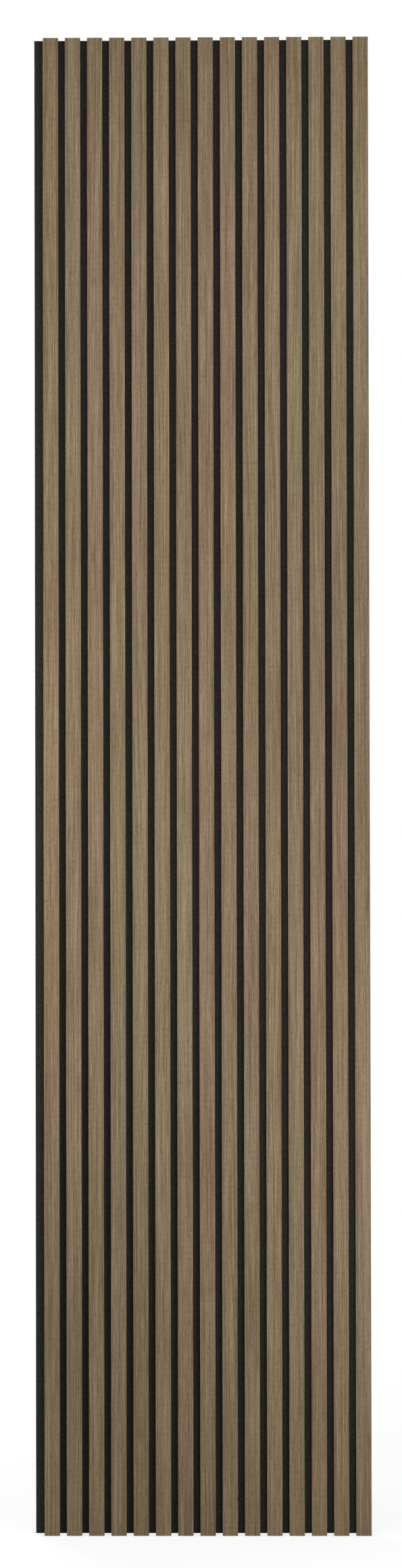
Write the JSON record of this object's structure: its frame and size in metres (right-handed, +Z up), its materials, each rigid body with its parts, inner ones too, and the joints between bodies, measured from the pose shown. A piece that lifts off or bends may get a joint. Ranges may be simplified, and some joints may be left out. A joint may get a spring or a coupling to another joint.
{
  "type": "acoustic slat wall panel",
  "caption": "Tall wall panel of narrow wood-veneered slats set side by side with dark gaps on a black felt backing.",
  "frame": {"origin": "middle of the felt's back face, which lies on the wall", "axes": "+Z up along the slats, +Y into the wall, +X to the right for someone facing the slats"},
  "size_m": [0.6036, 0.021, 2.7],
  "materials": {
    "felt": "matte needled felt",
    "fibreboard": "sawn fibreboard",
    "veneer": "matte brown-grey wood",
    "wire": "galvanised"
  },
  "bodies": {
    "root": {"felt_backing": "felt", "slat_core_01": "fibreboard", "slat_core_02": "fibreboard", "slat_core_03": "fibreboard", "slat_core_04": "fibreboard", "slat_core_05": "fibreboard", "slat_core_06": "fibreboard", "slat_core_07": "fibreboard", "slat_core_08": "fibreboard", "slat_core_09": "fibreboard", "slat_core_10": "fibreboard", "slat_core_11": "fibreboard", "slat_core_12": "fibreboard", "slat_core_13": "fibreboard", "slat_core_14": "fibreboard", "slat_core_15": "fibreboard", "slat_veneer_01": "veneer", "slat_veneer_02": "veneer", "slat_veneer_03": "veneer", "slat_veneer_04": "veneer", "slat_veneer_05": "veneer", "slat_veneer_06": "veneer", "slat_veneer_07": "veneer", "slat_veneer_08": "veneer", "slat_veneer_09": "veneer", "slat_veneer_10": "veneer", "slat_veneer_11": "veneer", "slat_veneer_12": "veneer", "slat_veneer_13": "veneer", "slat_veneer_14": "veneer", "slat_veneer_15": "veneer", "staples": "wire"}
  },
  "joints": []
}
